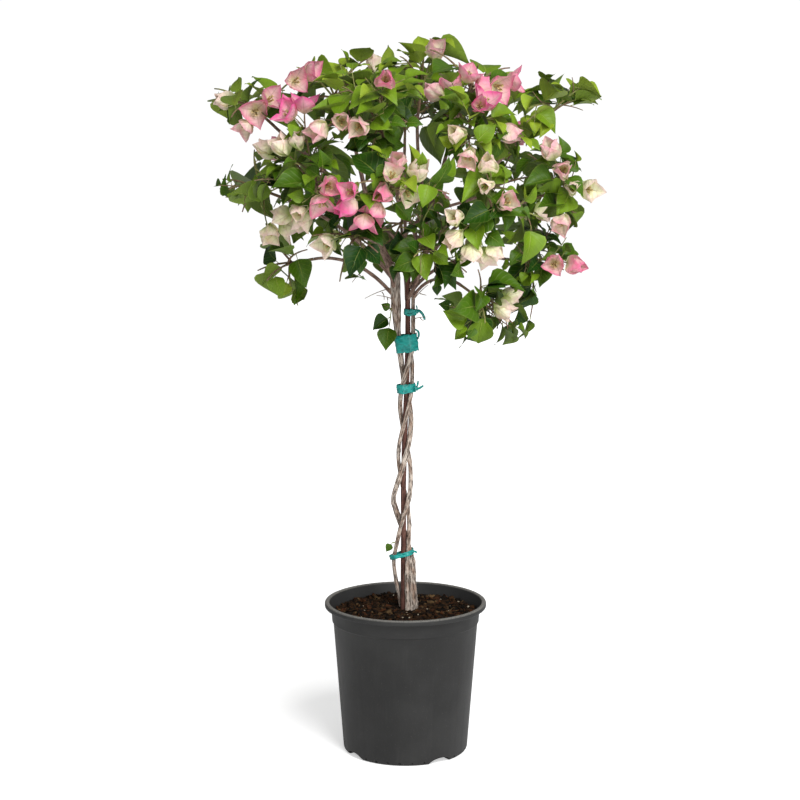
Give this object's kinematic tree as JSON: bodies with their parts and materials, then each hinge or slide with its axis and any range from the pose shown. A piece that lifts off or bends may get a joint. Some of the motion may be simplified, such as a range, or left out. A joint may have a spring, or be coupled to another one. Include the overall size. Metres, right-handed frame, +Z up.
{
  "type": "potted bougainvillea standard",
  "caption": "Bougainvillea trained as a small standard tree: an open round crown of leaves and papery bracts on a braided trunk with tape ties, growing in a round ridged nursery pot.",
  "frame": {"origin": "the middle of the pot's flat underside, on the surface that the pot stands on", "axes": "+Z up along the trunk, -Y towards the front of the plant, +X to its right"},
  "size_m": [0.5987, 0.5285, 1.1148],
  "materials": {
    "pot_plastic": "matte charcoal moulded plastic",
    "potting_mix": "damp bark and peat mix",
    "leader_bark": "smooth red-brown bark",
    "stem_bark": "grey-tan ridged bark",
    "bough_bark": "purple-brown young bark",
    "tie_tape": "stretchy green tie tape",
    "leaves": "soft green leaves, satin above and matte below",
    "bracts": "papery pink and cream bracts"
  },
  "bodies": {
    "root": {"pot": "pot_plastic", "soil": "potting_mix", "leader_stem": "leader_bark", "braid_stem_thick": "stem_bark", "braid_stem_slim": "stem_bark", "braid_stem_looped": "stem_bark", "tie_upper": "tie_tape", "tie_wide": "tie_tape", "tie_knotted": "tie_tape", "tie_low": "tie_tape", "bough_crown_top": "bough_bark", "bough_top_left": "bough_bark", "bough_top_right": "bough_bark", "bough_upper_left": "bough_bark", "bough_upper_right": "bough_bark", "bough_mid_left": "bough_bark", "bough_mid_right": "bough_bark", "bough_low_left": "bough_bark", "bough_low_right": "bough_bark", "bough_bottom_right": "bough_bark", "bough_front_high": "bough_bark", "bough_front_upper": "bough_bark", "bough_front_middle": "bough_bark", "bough_front_left": "bough_bark", "bough_front_right": "bough_bark", "bough_front_under": "bough_bark", "bough_front_low": "bough_bark", "bough_back_high": "bough_bark", "bough_back_left": "bough_bark", "bough_back_right": "bough_bark", "bough_back_low": "bough_bark", "foliage_crown_top": "leaves", "foliage_top_left": "leaves", "foliage_top_right": "leaves", "foliage_upper_left": "leaves", "foliage_upper_right": "leaves", "foliage_mid_left": "leaves", "foliage_mid_right": "leaves", "foliage_low_left": "leaves", "foliage_low_right": "leaves", "foliage_bottom_right": "leaves", "foliage_front_high": "leaves", "foliage_front_upper": "leaves", "foliage_front_middle": "leaves", "foliage_front_left": "leaves", "foliage_front_right": "leaves", "foliage_front_under": "leaves", "foliage_front_low": "leaves", "foliage_back_high": "leaves", "foliage_back_left": "leaves", "foliage_back_right": "leaves", "foliage_back_low": "leaves", "sprig_left": "leaves", "sprig_low": "leaves"}
  },
  "joints": []
}
